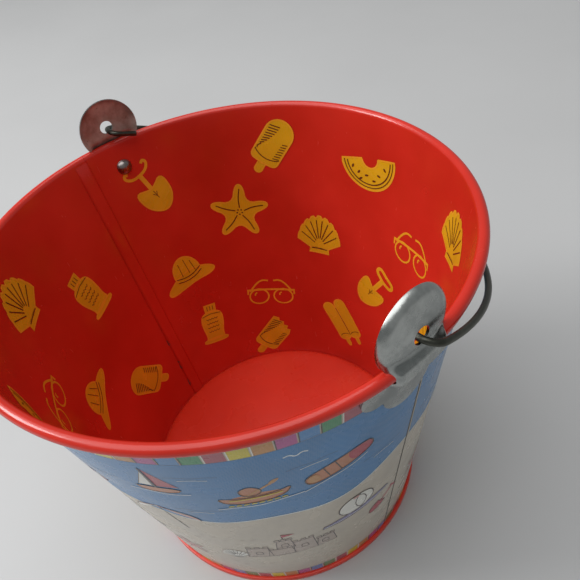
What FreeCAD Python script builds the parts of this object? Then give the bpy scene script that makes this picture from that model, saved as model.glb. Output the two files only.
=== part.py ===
"""Lithographed tinplate sand pail with a wire bail, as nine separate pieces.

Frame: +Z up, millimetres, origin at the centre of the foot, on the surface it stands on.
The bail ears stand a little off the X axis, and the bail hangs down towards +Y.
"""
import FreeCAD, Part
import Sketcher
import os
from FreeCAD import Placement, Rotation, Vector

DIMENSIONS = [
    # alias, value in millimetres or degrees, what it is
    ("pail_height", 165.0, "floor to the top of the rolled rim"),
    ("rim_radius", 101.5, "axis to the outside of the rolled rim"),
    ("curl_radius", 2.2, "half the thickness of the rolled rim"),
    ("curl_angle", 318.0, "how far the rim's curl turns round its wire"),
    ("wall_angle", 8.9, "lean of the wall"),
    ("tin", 0.35, "thickness of the tinplate"),
    ("fold_gap", 0.03, "space between the folded layers of a seam"),
    ("rim_wire_radius", 1.7, "half the thickness of the wire inside the rim"),
    ("seam_width", 7.0, "width of the locked side seam"),
    ("seam_top", 158.0, "height at which the side seam stops, under the rim"),
    ("seam_foot", 3.5, "height at which the side seam starts, above the foot"),
    ("seam_turn", 10.0, "angle of the side seams, from the X axis"),
    ("seam_cut_margin", 5.0, "how far cuts in a panel reach beyond the rim"),
    ("foot_height", 3.2, "height of the double seam that forms the foot"),
    ("foot_gap", 0.12, "space between the layers of the foot's seam"),
    ("foot_round", 0.35, "rounding of the foot's outer edges"),
    ("base_edge", 2.9, "height of the base's top face at its edge"),
    ("base_crown", 4.1, "height of the base's top face at its centre"),
    ("ear_turn", 1.9, "angle by which both ears stand off the X axis, towards +Y"),
    ("ear_tool_size", 40.0, "size of the blocks and rods that shape an ear"),
    ("ear_gauge", 0.9, "thickness of an ear's sheet steel"),
    ("ear_gap", 0.14, "space between an ear and the tin"),
    ("ear_bottom", 136.5, "lowest point of an ear's plate"),
    ("ear_tuck", 156.6, "height at which the ear's neck leaves the wall"),
    ("ear_plate_top", 160.0, "top of the ear's plate, under the rim"),
    ("ear_lobe_radius", 11.0, "radius of the plate's middle lobe"),
    ("ear_side_lobe_radius", 6.3, "radius of the plate's side lobes"),
    ("ear_side_lobe_reach", 13.6, "ear's middle to the centre of a side lobe"),
    ("ear_side_lobe_height", 152.5, "height of a side lobe's centre"),
    ("lobe_bridge_drop", 4.2, "how far the web between the lobes reaches below their centres"),
    ("plate_sweep", 28.0, "angle round the pail of the plate's blank"),
    ("neck_sweep", 16.0, "angle round the pail of the neck's blank"),
    ("neck_root", 5.0, "length of neck that lies on the wall"),
    ("neck_overlap", 0.8, "length of neck that runs up into the dish"),
    ("neck_width", 17.0, "width of the neck that passes the rim"),
    ("neck_slot_width", 6.0, "width of the slot lanced at the neck's root"),
    ("neck_slot_height", 1.8, "height of that slot"),
    ("dish_height", 172.2, "height of the centre of the ear's dish and of its hole"),
    ("dish_face", 100.2, "axis to the outer face of the dish"),
    ("dish_radius", 14.4, "radius of the dish"),
    ("dish_lip", 3.0, "outer radius of the dish's rounded edge"),
    ("dish_clearance", 0.45, "space between the dish's lower edge and the rim"),
    ("hole_radius", 3.2, "radius of the ear's hole"),
    ("rivet_height", 151.6, "height of the rivet in the wall"),
    ("rivet_shank_radius", 1.6, "radius of the rivet's shank"),
    ("rivet_play", 0.1, "space round the shank in the tin and in the ear"),
    ("rivet_head_radius", 3.9, "radius of the domed head inside the pail"),
    ("rivet_head_height", 2.5, "height of that head"),
    ("rivet_tail_radius", 2.7, "radius of the flattened tail outside"),
    ("rivet_tail_height", 0.7, "height of that tail"),
    ("wire_radius", 1.2, "half the thickness of the bail wire"),
    ("pivot_height", 170.5, "height of the bail's turning axis, low in the ear holes"),
    ("bail_reach", 105.0, "axis of the pail to the bail's side, at the ears"),
    ("bail_depth", 98.9, "turning axis to the middle of the bail's arch"),
    ("bail_side_radius", 92.0, "radius of the bail's two side arcs"),
    ("bail_bend_radius", 6.0, "radius of the bend outside the ear"),
    ("hook_reach", 94.0, "axis of the pail to the leg of the end hook"),
    ("hook_bend_radius", 3.6, "radius of the bend inside the ear"),
    ("hook_length", 12.0, "turning axis to the tip of the end hook"),
    ("bail_drop", 23.1, "angle at which the bail hangs below the horizontal"),
]

SAME_POINT = 1e-6  # millimetres
X_AXIS, Y_AXIS, Z_AXIS = Vector(1, 0, 0), Vector(0, 1, 0), Vector(0, 0, 1)

doc = FreeCAD.newDocument("sand_pail")
sheet = doc.addObject("Spreadsheet::Sheet", "Dimensions")
for row, (alias, value, meaning) in enumerate(DIMENSIONS, start=1):
    sheet.set(f"A{row}", alias)
    sheet.set(f"B{row}", str(value))
    sheet.set(f"C{row}", meaning)
    sheet.setAlias(f"B{row}", alias)
doc.recompute()


def d(alias):
    """The expression that reads one driving dimension."""
    return f"Dimensions.{alias}"


def number(expression):
    """What an expression comes to now, as a plain number."""
    value = sheet.evalExpression(expression.replace("Dimensions.", ""))
    return float(getattr(value, "Value", value))


def bind(thing, **expressions):
    """Binds properties of an object to expressions of the driving dimensions."""
    for name, expression in expressions.items():
        thing.setExpression(name, str(expression))


# ---- sketches ------------------------------------------------------------------------------

def body_sketch(body, name, role):
    """A sketch on one of a body's own origin planes."""
    sketch = body.newObject("Sketcher::SketchObject", name)
    plane = [f for f in body.Origin.OriginFeatures if f.Role == role][0]
    sketch.AttachmentSupport = (plane, [""])
    sketch.MapMode = "FlatFace"
    return sketch


def upright_sketch(name):
    """A sketch of its own in the XZ plane: its X is the radius and its Y the height."""
    sketch = doc.addObject("Sketcher::SketchObject", name)
    sketch.Placement = Placement(Vector(), Rotation(X_AXIS, 90))
    return sketch


def hold(sketch, kind, *where):
    """Adds a constraint and binds its size to the expression that comes last."""
    *where, expression = where
    index = sketch.addConstraint(Sketcher.Constraint(kind, *where, number(expression)))
    sketch.setExpression(f"Constraints[{index}]", expression)


def pin_point(sketch, edge, end, x, y):
    """Holds one end of an edge at the place that two expressions give."""
    for kind, axis, expression in (("DistanceX", -2, x), ("DistanceY", -1, y)):
        if abs(number(expression)) < SAME_POINT:
            sketch.addConstraint(Sketcher.Constraint("PointOnObject", edge, end, axis))
        else:
            hold(sketch, kind, -1, 1, edge, end, expression)


def outline(sketch, corners, arcs=None):
    """Draws a closed outline through corners, each a pair of expressions.

    arcs maps an edge's number to the point that the arc passes through and its radius.
    """
    arcs = arcs or {}
    points = [Vector(number(x), number(y), 0) for x, y in corners]
    ends = []
    for i, start in enumerate(points):
        finish = points[(i + 1) % len(points)]
        if i in arcs:
            (via_x, via_y), radius = arcs[i]
            via = Vector(number(via_x), number(via_y), 0)
            edge = sketch.addGeometry(Part.Arc(start, via, finish), False)
            hold(sketch, "Radius", edge, radius)
            turned = sketch.getPoint(edge, 1).distanceToPoint(start) > SAME_POINT
            ends.append((edge, 2, 1) if turned else (edge, 1, 2))
        else:
            edge = sketch.addGeometry(Part.LineSegment(start, finish), False)
            ends.append((edge, 1, 2))
    for i, (edge, first, last) in enumerate(ends):
        after, after_first, _ = ends[(i + 1) % len(ends)]
        sketch.addConstraint(Sketcher.Constraint("Coincident", edge, last, after, after_first))
        pin_point(sketch, edge, first, *corners[i])


def revolve(body, name, sketch, angle, axis="V_Axis"):
    """Turns a sketch about one of its own axes and adds it to the body."""
    feature = body.newObject("PartDesign::Revolution", name)
    feature.Profile = sketch
    feature.ReferenceAxis = (sketch, [axis])
    bind(feature, Angle=angle)
    return feature


# ---- the wall's geometry, shared by the panels, the base, the ears and the rivets -----------

LEAN = d("wall_angle")
CURL_R = f"({d('rim_radius')} - {d('curl_radius')})"
CURL_Z = f"({d('pail_height')} - {d('curl_radius')})"
CURL_BORE = f"({d('curl_radius')} - {d('tin')})"


def on_curl(radius, angle):
    """The point of the curl's section at an angle anticlockwise from straight outwards."""
    return (f"{CURL_R} + {radius} * cos({angle})", f"{CURL_Z} + {radius} * sin({angle})")


def wall_outside(height):
    """The wall's outer radius at a height. The wall's outer line touches the curl's bore."""
    top_r, top_z = on_curl(CURL_BORE, f"(180 - {LEAN})")
    return f"({top_r} - ({top_z} - {height}) * tan({LEAN}))"


def wall_inside(height):
    """The wall's inner radius at a height."""
    return f"({wall_outside(height)} - {d('tin')} / cos({LEAN}))"


# The layers of the foot's double seam, from the outside of the wall outwards.
END_HOOK = f"({wall_outside(d('foot_height'))} + {d('foot_gap')})"
BODY_HOOK = f"({END_HOOK} + {d('tin')} + {d('foot_gap')})"
FOOT_SKIN = f"({BODY_HOOK} + {d('tin')} + {d('foot_gap')})"
FOOT_RADIUS = f"({FOOT_SKIN} + {d('tin')})"
HOOK_FLOOR = f"({d('tin')} + {d('foot_gap')})"
BASE_WALL = f"({wall_inside(HOOK_FLOOR)} - {d('foot_gap')})"


# ---- body panels -----------------------------------------------------------------------------

def panel_wall(body):
    """The cone-shaped wall, with the flange that hooks into the foot's seam."""
    sketch = body_sketch(body, "wall_section", "XZ_Plane")
    flange_inside = f"({HOOK_FLOOR} + {d('tin')})"
    flange_top = f"({d('foot_height')} - {d('tin')} - {d('foot_gap')})"
    outline(sketch, [
        on_curl(d("curl_radius"), f"(180 - {LEAN})"),
        (wall_inside(HOOK_FLOOR), HOOK_FLOOR),
        (f"{BODY_HOOK} + {d('tin')}", HOOK_FLOOR),
        (f"{BODY_HOOK} + {d('tin')}", flange_top),
        (BODY_HOOK, flange_top),
        (BODY_HOOK, flange_inside),
        (wall_outside(flange_inside), flange_inside),
        on_curl(CURL_BORE, f"(180 - {LEAN})"),
    ])
    revolve(body, "wall", sketch, "180")


def panel_seam_edges(body):
    """Cuts both upright edges back by half the seam's width, to make room for the hooks."""
    sketch = body_sketch(body, "edge_cut_outline", "XZ_Plane")
    reach = f"({d('rim_radius')} + {d('seam_cut_margin')})"
    outline(sketch, [
        (f"-{reach}", d("seam_foot")),
        (reach, d("seam_foot")),
        (reach, d("seam_top")),
        (f"-{reach}", d("seam_top")),
    ])
    cut = body.newObject("PartDesign::Pocket", "edge_cut")
    cut.Profile = sketch
    cut.Reversed = False
    bind(cut, Length=f"{d('seam_width')} / 2")


def panel_curl(body):
    """The rim, rolled outwards round its wire."""
    sketch = body_sketch(body, "curl_section", "XZ_Plane")
    start = f"(180 - {LEAN})"
    end = f"({start} - {d('curl_angle')})"
    middle = f"({start} - {d('curl_angle')} / 2)"
    outline(sketch, [
        on_curl(d("curl_radius"), start),
        on_curl(d("curl_radius"), end),
        on_curl(CURL_BORE, end),
        on_curl(CURL_BORE, start),
    ], {
        0: (on_curl(d("curl_radius"), middle), d("curl_radius")),
        2: (on_curl(CURL_BORE, middle), CURL_BORE),
    })
    revolve(body, "curl", sketch, "180")


def seam_hook(body, name, layers, side):
    """One folded edge of the side seam: its section, swept up along the leaning wall.

    layers are corners as (across the seam, depth from the outside); side is 1 at the +X edge
    of the panel and -1 at its -X edge.
    """
    sketch = body_sketch(body, f"{name}_section", "XY_Plane")
    sketch.AttachmentOffset = Placement(Vector(0, 0, number(d("seam_foot"))), Rotation())
    bind(sketch, **{"AttachmentOffset.Base.z": d("seam_foot")})
    skin = wall_outside(d("seam_foot"))
    outline(sketch, [(f"{side} * ({skin} - ({depth}))", across) for across, depth in layers])
    pad = body.newObject("PartDesign::Pad", name)
    pad.Profile = sketch
    pad.UseCustomVector = True
    pad.Direction = Z_AXIS
    bind(pad, Length=f"{d('seam_top')} - {d('seam_foot')}", **{
        "Direction.x": f"{side} * tan({LEAN})", "Direction.y": "0", "Direction.z": "1"})


def panel_hooks(body):
    """The outer hook at the +X edge and the inner hook at the -X edge.

    The seam has four layers. The outer hook is layers 1 and 3, the inner hook 2 and 4, so the
    outer hook of one panel locks into the inner hook of the next.
    """
    half, tin, gap = f"({d('seam_width')} / 2)", d("tin"), d("fold_gap")
    pitch = f"({tin} + {gap})"
    root = f"({half} + 2 * {tin})"
    fold = f"-({half} - {tin})"
    seam_hook(body, "outer_hook", [
        (root, "0"),
        (fold, "0"),
        (fold, f"2 * {pitch} + {tin}"),
        (f"{half} - 3 * {tin}", f"2 * {pitch} + {tin}"),
        (f"{half} - 3 * {tin}", f"2 * {pitch}"),
        (f"{fold} + {tin}", f"2 * {pitch}"),
        (f"{fold} + {tin}", tin),
        (root, tin),
    ], 1)
    step = f"({half} - {tin} + {gap})"
    seam_hook(body, "inner_hook", [
        (root, "0"),
        (step, "0"),
        (step, f"3 * {pitch}"),
        (f"-{half} + {tin}", f"3 * {pitch}"),
        (f"-{half} + {tin}", f"{pitch} + {tin}"),
        (f"{half} - 3 * {tin}", f"{pitch} + {tin}"),
        (f"{half} - 3 * {tin}", pitch),
        (f"-{half}", pitch),
        (f"-{half}", f"3 * {pitch} + {tin}"),
        (f"{step} + {tin}", f"3 * {pitch} + {tin}"),
        (f"{step} + {tin}", tin),
        (root, tin),
    ], -1)


def panel_rivet_hole(body, seam_to_ear):
    """The hole for the ear's rivet, at an angle from the panel's -X edge."""
    sketch = body_sketch(body, "rivet_hole_outline", "YZ_Plane")
    turn = f"180 - ({seam_to_ear})"
    sketch.AttachmentOffset = Placement(Vector(), Rotation(Y_AXIS, number(turn)))
    bind(sketch, **{"AttachmentOffset.Rotation.Angle": turn})
    radius = f"{d('rivet_shank_radius')} + {d('rivet_play')}"
    edge = sketch.addGeometry(Part.Circle(Vector(0, number(d("rivet_height")), 0), Z_AXIS,
                                          number(radius)), False)
    hold(sketch, "Radius", edge, radius)
    pin_point(sketch, edge, 3, "0", d("rivet_height"))
    hole = body.newObject("PartDesign::Pocket", "rivet_hole")
    hole.Profile = sketch
    hole.Reversed = True
    bind(hole, Length=f"{d('rim_radius')} + {d('seam_cut_margin')}")


def body_panel(label, turn, seam_to_ear):
    """One half of the pail's wall. The two halves differ only in where the rivet hole is."""
    body = doc.addObject("PartDesign::Body", label)
    body.Label = label
    panel_wall(body)
    panel_seam_edges(body)
    panel_curl(body)
    panel_hooks(body)
    panel_rivet_hole(body, seam_to_ear)
    body.Placement = Placement(Vector(), Rotation(Z_AXIS, number(turn)))
    bind(body, **{"Placement.Rotation.Angle": turn})
    return body


# ---- base and rim wire -----------------------------------------------------------------------

def base_pan():
    """The pressed base: a slightly domed disc, and the channel that grips the panels' flange."""
    body = doc.addObject("PartDesign::Body", "base_pan")
    body.Label = "base_pan"
    sketch = body_sketch(body, "base_section", "XZ_Plane")
    tin, top, corner = d("tin"), d("foot_height"), d("foot_round")
    rise = f"({d('base_crown')} - {d('base_edge')})"
    inner_edge = f"({BASE_WALL} - {tin})"
    dome = f"(({BASE_WALL} ^ 2 + {rise} ^ 2) / (2 * {rise}))"
    under_rise = f"({dome} - {tin} - sqrt(({dome} - {tin}) ^ 2 - {inner_edge} ^ 2))"
    crown_under = f"({d('base_crown')} - {tin})"

    def on_dome(radius, part):
        """A point of the dome of that radius, at a part of the base's own radius."""
        across = f"({BASE_WALL} * {part})"
        centre = f"({d('base_crown')} - {dome})"
        return across, f"{centre} + sqrt({radius} ^ 2 - {across} ^ 2)"

    def round_corner(x, y, turn):
        """A point on the rounding whose centre is x, y."""
        return f"{x} + {corner} * cos({turn})", f"{y} + {corner} * sin({turn})"

    skin, low = f"({FOOT_RADIUS} - {corner})", corner
    high = f"({top} - {corner})"
    outline(sketch, [
        ("0", crown_under),
        (inner_edge, f"{crown_under} - {under_rise}"),
        (inner_edge, "0"),
        (skin, "0"),
        (FOOT_RADIUS, low),
        (FOOT_RADIUS, high),
        (skin, top),
        (END_HOOK, top),
        (END_HOOK, f"3 * {tin}"),
        (f"{END_HOOK} + {tin}", f"3 * {tin}"),
        (f"{END_HOOK} + {tin}", f"{top} - {tin}"),
        (FOOT_SKIN, f"{top} - {tin}"),
        (FOOT_SKIN, tin),
        (BASE_WALL, tin),
        (BASE_WALL, d("base_edge")),
        ("0", d("base_crown")),
    ], {
        0: (on_dome(f"({dome} - {tin})", "0.5"), f"({dome} - {tin})"),
        3: (round_corner(skin, low, "-45"), corner),
        5: (round_corner(skin, high, "45"), corner),
        14: (on_dome(dome, "0.5"), dome),
    })
    revolve(body, "pressing", sketch, "360")
    return body


def rim_wire():
    """The plain wire ring that the rim is rolled round."""
    ring = doc.addObject("Part::Torus", "rim_wire")
    ring.Label = "rim_wire"
    bind(ring, Radius1=CURL_R, Radius2=d("rim_wire_radius"))
    ring.Placement = Placement(Vector(0, 0, number(CURL_Z)), Rotation())
    bind(ring, **{"Placement.Base.z": CURL_Z})
    return ring


# ---- bail ears -------------------------------------------------------------------------------

TOOL_SIZE = d("ear_tool_size")
TOOL_START = f"({d('rim_radius')} - {TOOL_SIZE} / 2)"
ABOVE_RIM = f"({d('pail_height')} + {d('dish_clearance')})"
NECK_PASS = f"({d('rim_radius')} + 2 * {d('ear_gap')})"


def ear_block(name, z, width, height):
    """A block that runs outwards along X through an ear, midway between its sides."""
    block = doc.addObject("Part::Box", name)
    bind(block, Length=TOOL_SIZE, Width=width, Height=height, **{
        "Placement.Base.x": TOOL_START, "Placement.Base.y": f"-({width}) / 2",
        "Placement.Base.z": z})
    return block


def ear_rod(name, radius, y, z):
    """A cylinder that runs outwards along X through an ear."""
    rod = doc.addObject("Part::Cylinder", name)
    rod.Placement = Placement(Vector(), Rotation(Y_AXIS, 90))
    bind(rod, Radius=radius, Height=TOOL_SIZE, **{
        "Placement.Base.x": TOOL_START, "Placement.Base.y": y, "Placement.Base.z": z})
    return rod


def boolean(kind, name, base, tool):
    """A Part::Cut or Part::Common of two objects."""
    result = doc.addObject(kind, name)
    result.Base, result.Tool = base, tool
    return result


def fuse(name, shapes):
    """One solid from several that overlap."""
    result = doc.addObject("Part::MultiFuse", name)
    result.Shapes = shapes
    return result


def bent_sheet(name, corners, angle):
    """A section of sheet, turned about the pail's axis to follow its roundness."""
    sketch = upright_sketch(f"{name}_section")
    outline(sketch, corners)
    sheet_metal = doc.addObject("Part::Revolution", name)
    sheet_metal.Source = sketch
    sheet_metal.Axis = Z_AXIS
    sheet_metal.Symmetric = True
    sheet_metal.Solid = True
    bind(sheet_metal, Angle=angle)
    return sheet_metal


def ear_plate(side):
    """The three-lobed plate that lies on the wall under the rim."""
    inner = [(f"{wall_outside(d(z))} + {d('ear_gap')}", d(z))
             for z in ("ear_bottom", "ear_plate_top")]
    outer = [(f"{r} + {d('ear_gauge')}", z) for r, z in reversed(inner)]
    blank = bent_sheet(f"plate_blank_{side}", inner + outer, d("plate_sweep"))
    reach, lobe_z = d("ear_side_lobe_reach"), d("ear_side_lobe_height")
    lobe_r = d("ear_side_lobe_radius")
    shape = fuse(f"plate_shape_{side}", [
        ear_rod(f"middle_lobe_{side}", d("ear_lobe_radius"), "0",
                f"{d('ear_bottom')} + {d('ear_lobe_radius')}"),
        ear_rod(f"right_lobe_{side}", lobe_r, reach, lobe_z),
        ear_rod(f"left_lobe_{side}", lobe_r, f"-{reach}", lobe_z),
        ear_block(f"lobe_bridge_{side}", f"{lobe_z} - {d('lobe_bridge_drop')}",
                  f"2 * {reach}", f"{d('lobe_bridge_drop')} + {lobe_r}"),
    ])
    plate = boolean("Part::Common", f"plate_{side}", blank, shape)
    window = ear_block(f"neck_window_{side}", f"{d('ear_tuck')} + {d('ear_gauge')}",
                       d("neck_width"), TOOL_SIZE)
    return boolean("Part::Cut", f"plate_with_window_{side}", plate, window)


def ear_neck(side):
    """The neck, which steps outwards past the rim and back in to the dish.

    Both steps lean 45 degrees, so each is as tall as it is deep.
    """
    gauge, tuck = d("ear_gauge"), d("ear_tuck")
    mitre = f"({gauge} * tan(45 / 2))"
    root = f"({tuck} - {d('neck_root')})"
    wall_r = f"({wall_outside(tuck)} + {d('ear_gap')})"
    root_r = f"({wall_outside(root)} + {d('ear_gap')})"
    dish_r = f"({d('dish_face')} - {gauge})"
    shoulder = f"({tuck} + {NECK_PASS} - {wall_r})"
    landing = f"({ABOVE_RIM} + {NECK_PASS} - {dish_r})"
    neck_top = f"({landing} + {d('neck_overlap')})"
    strip = bent_sheet(f"neck_strip_{side}", [
        (root_r, root),
        (wall_r, tuck),
        (NECK_PASS, shoulder),
        (NECK_PASS, ABOVE_RIM),
        (dish_r, landing),
        (dish_r, neck_top),
        (d("dish_face"), neck_top),
        (d("dish_face"), f"{landing} + {mitre}"),
        (f"{NECK_PASS} + {gauge}", f"{ABOVE_RIM} + {mitre}"),
        (f"{NECK_PASS} + {gauge}", f"{shoulder} - {mitre}"),
        (f"{wall_r} + {gauge}", f"{tuck} - {mitre}"),
        (f"{root_r} + {gauge}", root),
    ], d("neck_sweep"))
    width = ear_block(f"neck_width_{side}", root, d("neck_width"), TOOL_SIZE)
    return boolean("Part::Common", f"neck_{side}", strip, width)


def ear_dish(side):
    """The round dish, hollow towards the pail, that stands above the rim and holds the bail."""
    sketch = upright_sketch(f"dish_section_{side}")
    face, gauge, lip = d("dish_face"), d("ear_gauge"), d("dish_lip")
    lip_x = f"({face} - {lip})"
    lip_y = f"({d('dish_radius')} - {lip})"
    inner = f"({lip} - {gauge})"
    outline(sketch, [
        (f"{face} - {gauge}", d("hole_radius")),
        (face, d("hole_radius")),
        (face, lip_y),
        (lip_x, f"{lip_y} + {lip}"),
        (lip_x, f"{lip_y} + {inner}"),
        (f"{face} - {gauge}", lip_y),
    ], {
        2: ((f"{lip_x} + {lip} * cos(45)", f"{lip_y} + {lip} * sin(45)"), lip),
        4: ((f"{lip_x} + {inner} * cos(45)", f"{lip_y} + {inner} * sin(45)"), inner),
    })
    bind(sketch, **{"Placement.Base.z": d("dish_height")})
    dish = doc.addObject("Part::Revolution", f"dish_{side}")
    dish.Source = sketch
    dish.Axis = X_AXIS
    dish.Solid = True
    bind(dish, Angle="360", **{"Base.z": d("dish_height")})
    step = f"({NECK_PASS} - {face} + {gauge})"
    away = fuse(f"dish_trim_{side}", [
        ear_block(f"rim_room_{side}", f"{ABOVE_RIM} - {TOOL_SIZE}", TOOL_SIZE, TOOL_SIZE),
        ear_block(f"neck_room_{side}", f"{ABOVE_RIM} - {TOOL_SIZE}", d("neck_width"),
                  f"{TOOL_SIZE} + {step}"),
    ])
    return boolean("Part::Cut", f"dish_trimmed_{side}", dish, away)


def rivet_hole_rod(side):
    """A cylinder through the wall, square to it, at the rivet's height."""
    rod = doc.addObject("Part::Cylinder", f"ear_rivet_hole_{side}")
    rod.Placement = Placement(Vector(), Rotation(Y_AXIS, 90 + number(LEAN)))
    bind(rod, Radius=f"{d('rivet_shank_radius')} + {d('rivet_play')}", Height=TOOL_SIZE, **{
        "Placement.Base.x": f"{wall_inside(d('rivet_height'))} - {TOOL_SIZE} / 2 * cos({LEAN})",
        "Placement.Base.z": f"{d('rivet_height')} + {TOOL_SIZE} / 2 * sin({LEAN})",
        "Placement.Rotation.Angle": f"90 + {LEAN}"})
    return rod


def bail_ear(label, turn):
    """One stamped steel ear: plate, neck and dish in one piece."""
    side = label.split("_")[-1]
    ear = fuse(f"ear_{side}", [ear_plate(side), ear_neck(side), ear_dish(side)])
    slot = ear_block(f"neck_slot_{side}", d("ear_tuck"), d("neck_slot_width"),
                     d("neck_slot_height"))
    holes = fuse(f"ear_holes_{side}", [slot, rivet_hole_rod(side)])
    result = boolean("Part::Cut", label, ear, holes)
    result.Label = label
    result.Placement = Placement(Vector(), Rotation(Z_AXIS, number(turn)))
    bind(result, **{"Placement.Rotation.Angle": turn})
    return result


def ear_rivet(label, turn):
    """The rivet that holds an ear: domed head inside, flattened tail outside."""
    body = doc.addObject("PartDesign::Body", label)
    body.Label = label
    sketch = body_sketch(body, "rivet_section", "XZ_Plane")
    head_r, head_h = d("rivet_head_radius"), d("rivet_head_height")
    tail_r, tail_h = d("rivet_tail_radius"), d("rivet_tail_height")
    shank = d("rivet_shank_radius")
    grip = (f"({d('rivet_play')} + {d('tin')} + {d('ear_gap')} + {d('ear_gauge')}"
            f" + 2 * {d('fold_gap')})")
    dome = f"(({head_r} ^ 2 + {head_h} ^ 2) / (2 * {head_h}))"
    half = "0.5"
    outline(sketch, [
        (f"-{head_h}", "0"),
        ("0", head_r),
        ("0", shank),
        (grip, shank),
        (grip, tail_r),
        (f"{grip} + {tail_h} * {half}", tail_r),
        (f"{grip} + {tail_h}", f"{tail_r} - {tail_h} * {half}"),
        (f"{grip} + {tail_h}", "0"),
    ], {
        0: ((f"{dome} - {head_h} - sqrt({dome} ^ 2 - ({head_r} * {half}) ^ 2)",
             f"{head_r} * {half}"), dome),
    })
    revolve(body, "rivet", sketch, "360", "H_Axis")
    inside = f"({wall_inside(d('rivet_height'))} - {d('rivet_play')})"
    tilt = Rotation(Z_AXIS, number(turn)).multiply(Rotation(Y_AXIS, number(LEAN)))
    body.Placement = Placement(Vector(), tilt)
    bind(body, **{"Placement.Base.x": f"{inside} * cos({turn})",
                  "Placement.Base.y": f"{inside} * sin({turn})",
                  "Placement.Base.z": d("rivet_height")})
    return body


# ---- bail ------------------------------------------------------------------------------------

def bail_path(body):
    """Half of the bail's centre line, from the middle of the arch to the tip of the end hook."""
    value = {name: number(d(name)) for name in (
        "bail_reach", "bail_depth", "bail_side_radius", "bail_bend_radius", "hook_reach",
        "hook_bend_radius", "hook_length")}
    side_r, bend_r, hook_r = (value["bail_side_radius"], value["bail_bend_radius"],
                              value["hook_bend_radius"])
    side_x = value["bail_reach"] - side_r
    rise = value["bail_depth"] - side_r
    drop = (side_x ** 2 - rise ** 2) / (2 * rise)
    crown_r = value["bail_depth"] + drop
    side_c, crown_c = Vector(side_x, 0, 0), Vector(0, -drop, 0)
    away = (side_c - crown_c).normalize()
    side_start = crown_c + away * crown_r
    bend_c = Vector(side_x + ((side_r - bend_r) ** 2 - bend_r ** 2) ** 0.5, bend_r, 0)
    side_end = side_c + (bend_c - side_c).normalize() * side_r
    hook_c = Vector(value["hook_reach"] + hook_r, hook_r, 0)

    def arc(centre, radius, start, finish):
        """The short arc about centre from start to finish."""
        middle = (start - centre).normalize() + (finish - centre).normalize()
        return Part.Arc(start, centre + middle.normalize() * radius, finish)

    crown = Vector(0, value["bail_depth"], 0)
    run_out, run_in = Vector(bend_c.x, 0, 0), Vector(hook_c.x, 0, 0)
    leg, tip = Vector(value["hook_reach"], hook_r, 0), Vector(
        value["hook_reach"], value["hook_length"], 0)
    sketch = body_sketch(body, "bail_line", "XY_Plane")
    edges = [
        arc(crown_c, crown_r, crown, side_start),
        arc(side_c, side_r, side_start, side_end),
        arc(bend_c, bend_r, side_end, run_out),
        Part.LineSegment(run_out, run_in),
        arc(hook_c, hook_r, run_in, leg),
        Part.LineSegment(leg, tip),
    ]
    points = [crown, side_start, side_end, run_out, run_in, leg, tip]
    ends = []
    for i, edge in enumerate(edges):
        sketch.addGeometry(edge, False)
        same = sketch.getPoint(i, 1).distanceToPoint(points[i]) < SAME_POINT
        ends.append((1, 2) if same else (2, 1))
    for i in range(len(edges) - 1):
        sketch.addConstraint(Sketcher.Constraint(
            "Tangent", i, ends[i][1], i + 1, ends[i + 1][0]))
    pin_point(sketch, 0, ends[0][0], "0", d("bail_depth"))
    sketch.addConstraint(Sketcher.Constraint("PointOnObject", 0, 3, -2))
    pin_point(sketch, 1, 3, f"{d('bail_reach')} - {d('bail_side_radius')}", "0")
    hold(sketch, "Radius", 1, d("bail_side_radius"))
    hold(sketch, "Radius", 2, d("bail_bend_radius"))
    hold(sketch, "Radius", 4, d("hook_bend_radius"))
    sketch.addConstraint(Sketcher.Constraint("PointOnObject", 3, 1, -1))
    sketch.addConstraint(Sketcher.Constraint("Horizontal", 3))
    sketch.addConstraint(Sketcher.Constraint("Vertical", 5))
    pin_point(sketch, 5, ends[5][1], d("hook_reach"), d("hook_length"))
    return sketch


def bail_wire():
    """The bail: round wire bent to an arch, with a hooked end through each ear."""
    body = doc.addObject("PartDesign::Body", "bail_wire")
    body.Label = "bail_wire"
    line = bail_path(body)
    section = body_sketch(body, "bail_section", "YZ_Plane")
    edge = section.addGeometry(Part.Circle(Vector(number(d("bail_depth")), 0, 0), Z_AXIS,
                                           number(d("wire_radius"))), False)
    hold(section, "Radius", edge, d("wire_radius"))
    pin_point(section, edge, 3, d("bail_depth"), "0")
    pipe = body.newObject("PartDesign::AdditivePipe", "half_bail")
    pipe.Profile = section
    pipe.Spine = (line, [])
    mirror = body.newObject("PartDesign::Mirrored", "whole_bail")
    mirror.Originals = [pipe]
    plane = [f for f in body.Origin.OriginFeatures if f.Role == "YZ_Plane"][0]
    mirror.MirrorPlane = (plane, [""])
    body.Tip = mirror
    body.Placement = Placement(Vector(), Rotation(Vector(-1, 0, 0), number(d("bail_drop"))))
    bind(body, **{"Placement.Base.y": f"{d('dish_face')} * sin({d('ear_turn')})",
                  "Placement.Base.z": d("pivot_height"),
                  "Placement.Rotation.Angle": d("bail_drop")})
    return body


# ---- the whole pail --------------------------------------------------------------------------

def check(parts):
    """Stops if any object failed or any piece isn't one valid solid."""
    failed = [o.Name for o in doc.Objects if "Invalid" in o.State or "Error" in o.State]
    if failed:
        raise RuntimeError(f"these objects failed: {failed}")
    for part in parts:
        shape = part.Shape
        if shape.isNull() or not shape.isValid() or len(shape.Solids) != 1:
            raise RuntimeError(f"{part.Label} isn't one valid solid")


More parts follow.
